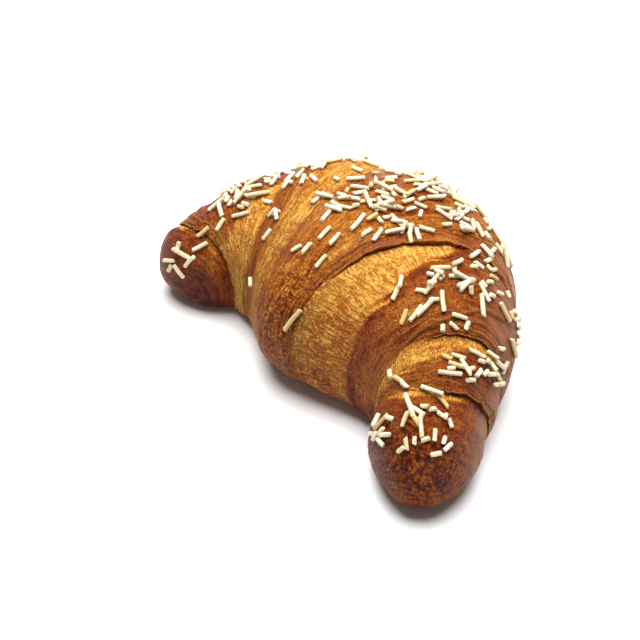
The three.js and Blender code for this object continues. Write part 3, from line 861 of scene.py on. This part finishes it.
def rod_points(middles, axes, normals, length):
    """Every rod at once: rings along its axis that close to cut ends with worn edges, a little
    bent, with a thickness that wavers. Gives points for each rod, ring and side."""
    n = np.arange(len(length)) + 1.0
    radius = ROD_DIAMETER / 2 * (THINNEST + THICKNESS_SPREAD * draw(n, 6))
    half = length[:, None] / 2
    from_end = np.array(RING_PLACES)[None] * radius[:, None]
    place = np.concatenate([-half + from_end, 0 * half, (half - from_end)[:, ::-1]], 1)
    thick = np.concatenate([RING_GIRTHS, [MIDDLE_GIRTH], RING_GIRTHS[::-1]])
    angle = 2 * np.pi * np.arange(ROD_SIDES) / ROD_SIDES
    side = np.cross(axes, normals)
    bow = (ROD_BOW * (draw(n, 7) - 0.5) * length / 5)[:, None] * (1 - (place / half) ** 2)
    ring = np.arange(place.shape[1])
    waver = 1 + ROD_WAVER * np.sin(ring[None, :, None] * 2.1 + 3 * angle + 9 * n[:, None, None])
    size = radius[:, None, None] * thick[None, :, None] * waver
    spine = middles[:, None] + axes[:, None] * place[..., None] + side[:, None] * bow[..., None]
    out = side[:, None, None] * np.cos(angle)[:, None] + normals[:, None, None] * np.sin(angle)[:, None]
    # The cut ends slant, each its own way.
    near_end = np.abs(place / half) > 0.8
    slant = np.sign(place) * near_end * (draw(n, 9) - 0.5)[:, None] * radius[:, None]
    slanted =(slant[:, :, None] * np.cos(angle + 9 * n[:, None, None]))[..., None] * axes[:, None, None]
    return spine[:, :, None] + out * size[..., None] + slanted


middles, axes, normals, lengths = lay_rods()
grid = rod_points(middles, axes, normals, lengths)
rods, rings = grid.shape[:2]
ends = np.stack([grid[:, 0].mean(1), grid[:, -1].mean(1)], 1)
rod_all = np.concatenate([grid.reshape(rods, -1, 3), ends], 1)
points_each = rod_all.shape[1]
pattern = [face[::-1] for face in skin_faces(rings, ROD_SIDES)]
faces = [[corner + rod * points_each for corner in face] for rod in range(rods) for face in pattern]
sugar = mesh_object("sugar_rods", rod_all.reshape(-1, 3), faces)
paint(sugar, "toast", np.repeat(draw(np.arange(rods) + 1.0, 8) ** 7, points_each))
# How far each point lies under the rod's axis, in radii, for the painted shade on its underside.
below = -((rod_all - middles[:, None]) * normals[:, None]).sum(-1) / (ROD_DIAMETER / 2)
paint(sugar, "below", below.ravel())

# Sizes of the sugar's patterns in mm.
PORE_SIZE = 0.6
BLOTCH_SIZE = 1.8


def baked_sugar():
    """Pressed white sugar after baking: matt and opaque, cream coloured, with a few rods that
    turned straw yellow, and painted warm shade on the underside of each rod."""
    material, tree = new_material("baked_sugar")
    place = add(tree, "ShaderNodeTexCoord").node.outputs["Object"]
    toast = add(tree, "ShaderNodeAttribute", attribute_name="toast").node.outputs["Fac"]
    below = add(tree, "ShaderNodeAttribute", attribute_name="below").node.outputs["Fac"]
    pores = add(tree, "ShaderNodeTexNoise", {"Vector": place, "Scale": 1000 / PORE_SIZE, "Detail": 3})
    blotch = add(tree, "ShaderNodeTexNoise", {
        "Vector": place, "Scale": 1000 / BLOTCH_SIZE, "Detail": 2})
    cream = add(tree, "ShaderNodeValToRGB", {"Fac": pores}, stops=[
        (0.32, "#C2AE78"), (0.46, "#D8CCAA"), (0.62, "#E2DAC4")])
    warm = add(tree, "ShaderNodeMapRange", {
        "Value": blotch, "From Min": 0.58, "From Max": 0.78, "To Min": 0.0, "To Max": 0.35})
    share = add(tree, "ShaderNodeMath", {0: toast, 1: warm}, operation="ADD", use_clamp=True)
    colour = add(tree, "ShaderNodeMix", {"Factor": share, "A": cream, "B": "#C6A564"}, data_type="RGBA")
    # Painted warm shade on the lower side of each rod.
    shaded_foot = add(tree, "ShaderNodeMapRange", {
        "Value": below, "From Min": 0.4,"From Max": 1.0, "To Min": 0.0, "To Max": 0.8})
    colour = add(tree, "ShaderNodeMix", {"Factor": shaded_foot, "A": colour, "B": "#A87838"}, data_type="RGBA")
    bump = add(tree, "ShaderNodeBump", {"Height": pores, "Distance": 0.00025, "Strength": 0.6})
    shader = add(tree, "ShaderNodeBsdfPrincipled", {
        "Base Color": colour, "Roughness": 0.6, "Normal": bump, "IOR": 1.5})
    add(tree, "ShaderNodeOutputMaterial", {"Surface": shader})
    return material


sugar.data.materials.append(baked_sugar())
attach(sugar, "root")
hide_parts("croissant")

# ---------------------------------------------------------------------------------------------
# The floor, the light and the camera
# A sheet of white paper under a dim white sky, with a large soft lamp overhead and a little behind
# the croissant, so that its shadow is narrow and lies on the viewer's side.
# ---------------------------------------------------------------------------------------------
FLOOR_SIDE = 4.0

side = FLOOR_SIDE / 2
corners = [(-side, -side, 0), (side, -side, 0), (side, side, 0), (-side, side, 0)]
floor_mesh = bpy.data.meshes.new("floor")
floor_mesh.from_pydata(corners, [], [(0, 1, 2, 3)])
floor = bpy.data.objects.new("floor", floor_mesh)
bpy.context.scene.collection.objects.link(floor)


def white_paper():
    """Matt white paper, bright enough to read as pure white where no shadow falls."""
    material, tree = new_material("white_paper")
    shader = add(tree, "ShaderNodeBsdfPrincipled", {"Base Color": "#F6F6F6", "Roughness": 0.9})
    add(tree, "ShaderNodeOutputMaterial", {"Surface": shader})
    return material


floor_mesh.materials.append(white_paper())

SKY_COLOUR = "#FFFFFF"
SKY_STRENGTH = 0.16
world = bpy.data.worlds.new("white_sky")
world.use_nodes = True
sky = world.node_tree.nodes["Background"]
sky.inputs["Color"].default_value = linear(SKY_COLOUR)
sky.inputs["Strength"].default_value = SKY_STRENGTH
bpy.context.scene.world = world


def aim(made, place, target):
    """Puts a lamp or camera at a place, looking at the target, with its top upwards."""
    made.location = place
    made.rotation_euler = (Vector(target) - Vector(place)).to_track_quat("-Z", "Y").to_euler()
    bpy.context.scene.collection.objects.link(made)


LAMP_DIRECTION = Vector((-0.14, 0.13, 0.97)).normalized()
LAMP_DISTANCE = 0.9
LAMP_DIAMETER = 1.0
LAMP_WATTS = 23
LAMP_TARGET = (0, 0, 0.02)
lamp = bpy.data.lights.new("soft_lamp", "AREA")
lamp.shape = "DISK"
lamp.size = LAMP_DIAMETER
lamp.energy = LAMP_WATTS
aim(bpy.data.objects.new("soft_lamp", lamp), LAMP_DISTANCE * LAMP_DIRECTION, LAMP_TARGET)

CAMERA_AZIMUTH = math.radians(49.13)
CAMERA_ELEVATION = math.radians(43.95)
CAMERA_DISTANCE = 0.6048
CAMERA_TARGET = Vector((-0.00461, -0.02111, 0.020))
CAMERA_LENS = 98.9
SENSOR_WIDTH = 36
NEAREST_SHOWN = 0.01
camera_data = bpy.data.cameras.new("camera")
camera_data.lens = CAMERA_LENS
camera_data.sensor_width = SENSOR_WIDTH
camera_data.clip_start = NEAREST_SHOWN
level = math.cos(CAMERA_ELEVATION)
towards_camera = Vector((math.sin(CAMERA_AZIMUTH) * level, -math.cos(CAMERA_AZIMUTH) * level,
                         math.sin(CAMERA_ELEVATION)))
camera = bpy.data.objects.new("camera", camera_data)
aim(camera, CAMERA_TARGET + CAMERA_DISTANCE * towards_camera, CAMERA_TARGET)
bpy.context.scene.camera = camera
bpy.context.scene.view_settings.view_transform = "Standard"
